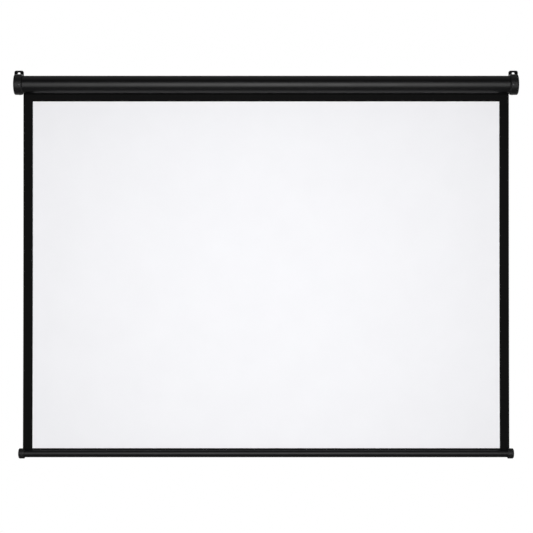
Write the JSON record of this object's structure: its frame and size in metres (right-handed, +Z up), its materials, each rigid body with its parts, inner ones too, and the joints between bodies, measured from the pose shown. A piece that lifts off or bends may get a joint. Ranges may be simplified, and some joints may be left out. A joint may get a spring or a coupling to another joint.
{
  "type": "projector screen",
  "caption": "Wall-hung spring-roller projection screen: round black case with moulded caps, white 4:3 fabric with a black border, round weighted bottom bar and a ratchet lock.",
  "frame": {"origin": "midway between the centres of the two hanging holes, on the plane of the wall", "axes": "+X along the roller to the viewer's right, +Y into the wall, away from the viewer, +Z up"},
  "size_m": [1.5838, 0.0681, 1.2178],
  "materials": {
    "case_coating": "satin black powder coat",
    "bar_coating": "satin black powder coat",
    "cap_moulding": "fine-grained black moulding",
    "zinc_plate": "bright zinc plate",
    "black_zinc": "black-passivated zinc plate",
    "bare_steel": "drawn steel",
    "spring_steel": "oiled spring steel",
    "grey_moulding": "moulded grey nylon",
    "natural_nylon": "natural nylon",
    "white_face": "matt white projection face",
    "black_border": "matt black ink on the fabric",
    "black_back": "opaque black back coat"
  },
  "bodies": {
    "case": {"case_tube": "case_coating", "end_cap_left": "cap_moulding", "end_cap_right": "cap_moulding", "cap_screw_front_left": "black_zinc", "cap_screw_front_right": "black_zinc", "cap_screw_under_left": "black_zinc", "cap_screw_under_right": "black_zinc", "spindle": "bare_steel", "spindle_clip": "spring_steel", "ratchet_wheel": "zinc_plate", "spring_collar": "grey_moulding", "collar_pin": "bare_steel", "torsion_spring": "spring_steel", "idle_bush": "natural_nylon", "screen_fabric": "white_face", "masking_border": "black_border", "black_backing": "black_back"},
    "roller": {"roller_tube": "bare_steel", "roller_head": "grey_moulding", "idle_plug": "grey_moulding", "idle_pin": "bare_steel", "spring_anchor": "grey_moulding", "fabric_wraps": "black_back", "pawl_pin_upper": "bare_steel", "pawl_pin_lower": "bare_steel"},
    "upper_pawl": {"pawl_upper": "zinc_plate"},
    "lower_pawl": {"pawl_lower": "zinc_plate"},
    "bar": {"bar_tube": "bar_coating", "bar_cap_left": "cap_moulding", "bar_cap_right": "cap_moulding", "hem_rod": "zinc_plate", "fabric_hem": "black_border"}
  },
  "joints": [
    {"name": "screen_drop", "type": "slide", "parent": "case", "child": "bar", "axis": [0, 0, 1], "range_m": [0, 1.108], "deforming": ["screen_fabric", "masking_border", "black_backing"]},
    {"name": "roller_spin", "type": "hinge", "parent": "case", "child": "roller", "pos_m": [0, -0.035, -0.038], "axis": [1, 0, 0], "range_deg": [0, 3150]},
    {"name": "upper_pawl_swing", "type": "hinge", "parent": "roller", "child": "upper_pawl", "pos_m": [-0.7678, -0.02313, -0.02804], "axis": [1, 0, 0], "range_deg": [0, 15.91]},
    {"name": "lower_pawl_swing", "type": "hinge", "parent": "roller", "child": "lower_pawl", "pos_m": [-0.7678, -0.04687, -0.04796], "axis": [1, 0, 0], "range_deg": [0, 15.91]}
  ],
  "couplings": [
    {"joint": "roller_spin", "follows": "screen_drop", "rad_per_m": 49.619}
  ]
}
